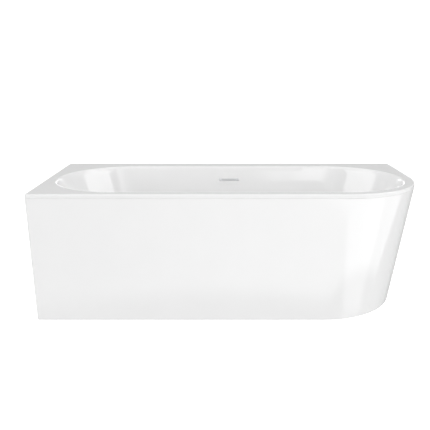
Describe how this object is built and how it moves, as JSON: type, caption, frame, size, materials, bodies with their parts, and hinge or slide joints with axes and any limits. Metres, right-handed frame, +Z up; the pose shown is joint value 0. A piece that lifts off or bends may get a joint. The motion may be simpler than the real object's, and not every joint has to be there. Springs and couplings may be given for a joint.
{
  "type": "bathtub",
  "caption": "Corner bathtub with one large rounded corner, tapered apron, level rim and stadium basin, on an adjustable leg frame with waste, trap and overflow.",
  "frame": {"origin": "on the floor, under the middle of the bath's outline", "axes": "+X along the bath towards its rounded end, +Y towards the back wall, +Z up"},
  "size_m": [1.7, 0.75, 0.575],
  "materials": {
    "acrylic": "smooth high gloss white, glass fibre behind",
    "board": "raw particle board coated with resin",
    "timber": "sawn softwood",
    "galvanised_steel": "galvanised, slightly spangled",
    "zinc_screws": "bright zinc plated",
    "chrome": "polished",
    "brass": "machined",
    "rubber": "matte black",
    "white_polypropylene": "moulded, satin",
    "grey_plastic": "moulded, matte",
    "black_plastic": "moulded, matte"
  },
  "bodies": {
    "bath": {"bath_shell": "acrylic", "apron": "acrylic", "base_board": "board", "rim_batten_back": "timber", "rim_batten_left": "timber", "frame_rail_front": "galvanised_steel", "frame_rail_back": "galvanised_steel", "waste_flange": "chrome", "flange_gasket": "rubber", "click_cartridge": "brass", "waste_body": "white_polypropylene", "waste_seal": "rubber", "trap_nut": "grey_plastic", "overflow_grille": "chrome", "overflow_gasket": "rubber", "overflow_box": "white_polypropylene", "overflow_screw_1": "chrome", "overflow_screw_2": "chrome", "overflow_hose": "white_polypropylene", "hose_nut_top": "grey_plastic", "hose_nut_bottom": "grey_plastic", "frame_bar_1": "galvanised_steel", "apron_bracket_1": "galvanised_steel", "frame_bar_2": "galvanised_steel", "apron_bracket_2": "galvanised_steel", "frame_bar_3": "galvanised_steel", "apron_bracket_3": "galvanised_steel", "frame_screw_1": "zinc_screws", "foot_1_locknut": "zinc_screws", "frame_screw_2": "zinc_screws", "foot_2_locknut": "zinc_screws", "frame_screw_3": "zinc_screws", "foot_3_locknut": "zinc_screws", "frame_screw_4": "zinc_screws", "foot_4_locknut": "zinc_screws", "frame_screw_5": "zinc_screws", "foot_5_locknut": "zinc_screws", "frame_screw_6": "zinc_screws", "foot_6_locknut": "zinc_screws"},
    "plug": {"plug_cap": "chrome", "plug_seal": "rubber", "plug_stem": "brass"},
    "trap": {"trap_cup": "white_polypropylene", "outlet_pipe": "white_polypropylene", "outlet_nut": "grey_plastic"},
    "foot_1": {"foot_1_pad": "black_plastic"},
    "stud_1": {"foot_1_stud": "zinc_screws"},
    "foot_2": {"foot_2_pad": "black_plastic"},
    "stud_2": {"foot_2_stud": "zinc_screws"},
    "foot_3": {"foot_3_pad": "black_plastic"},
    "stud_3": {"foot_3_stud": "zinc_screws"},
    "foot_4": {"foot_4_pad": "black_plastic"},
    "stud_4": {"foot_4_stud": "zinc_screws"},
    "foot_5": {"foot_5_pad": "black_plastic"},
    "stud_5": {"foot_5_stud": "zinc_screws"},
    "foot_6": {"foot_6_pad": "black_plastic"},
    "stud_6": {"foot_6_stud": "zinc_screws"}
  },
  "joints": [
    {"name": "plug_lift", "type": "slide", "parent": "bath", "child": "plug", "axis": [0, 0, 1], "range_m": [0, 0.009]},
    {"name": "trap_swivel", "type": "hinge", "parent": "bath", "child": "trap", "pos_m": [0, -0.0275, 0.04], "axis": [0, 0, 1], "range_deg": [-20, 20]},
    {"name": "foot_1_level", "type": "slide", "parent": "bath", "child": "foot_1", "axis": [0, 0, 1], "range_m": [-0.02, 0.01]},
    {"name": "foot_1_screw", "type": "hinge", "parent": "foot_1", "child": "stud_1", "pos_m": [-0.43, -0.2525, 0.02], "axis": [0, 0, 1], "range_deg": [-4116, 2058]},
    {"name": "foot_2_level", "type": "slide", "parent": "bath", "child": "foot_2", "axis": [0, 0, 1], "range_m": [-0.02, 0.01]},
    {"name": "foot_2_screw", "type": "hinge", "parent": "foot_2", "child": "stud_2", "pos_m": [0.19, -0.2525, 0.02], "axis": [0, 0, 1], "range_deg": [-4116, 2058]},
    {"name": "foot_3_level", "type": "slide", "parent": "bath", "child": "foot_3", "axis": [0, 0, 1], "range_m": [-0.02, 0.01]},
    {"name": "foot_3_screw", "type": "hinge", "parent": "foot_3", "child": "stud_3", "pos_m": [0.43, -0.2525, 0.02], "axis": [0, 0, 1], "range_deg": [-4116, 2058]},
    {"name": "foot_4_level", "type": "slide", "parent": "bath", "child": "foot_4", "axis": [0, 0, 1], "range_m": [-0.02, 0.01]},
    {"name": "foot_4_screw", "type": "hinge", "parent": "foot_4", "child": "stud_4", "pos_m": [-0.43, 0.1975, 0.02], "axis": [0, 0, 1], "range_deg": [-4116, 2058]},
    {"name": "foot_5_level", "type": "slide", "parent": "bath", "child": "foot_5", "axis": [0, 0, 1], "range_m": [-0.02, 0.01]},
    {"name": "foot_5_screw", "type": "hinge", "parent": "foot_5", "child": "stud_5", "pos_m": [0.19, 0.1975, 0.02], "axis": [0, 0, 1], "range_deg": [-4116, 2058]},
    {"name": "foot_6_level", "type": "slide", "parent": "bath", "child": "foot_6", "axis": [0, 0, 1], "range_m": [-0.02, 0.01]},
    {"name": "foot_6_screw", "type": "hinge", "parent": "foot_6", "child": "stud_6", "pos_m": [0.43, 0.1975, 0.02], "axis": [0, 0, 1], "range_deg": [-4116, 2058]}
  ],
  "couplings": [
    {"joint": "foot_1_screw", "follows": "foot_1_level", "rad_per_m": 3590.4},
    {"joint": "foot_2_screw", "follows": "foot_2_level", "rad_per_m": 3590.4},
    {"joint": "foot_3_screw", "follows": "foot_3_level", "rad_per_m": 3590.4},
    {"joint": "foot_4_screw", "follows": "foot_4_level", "rad_per_m": 3590.4},
    {"joint": "foot_5_screw", "follows": "foot_5_level", "rad_per_m": 3590.4},
    {"joint": "foot_6_screw", "follows": "foot_6_level", "rad_per_m": 3590.4}
  ]
}
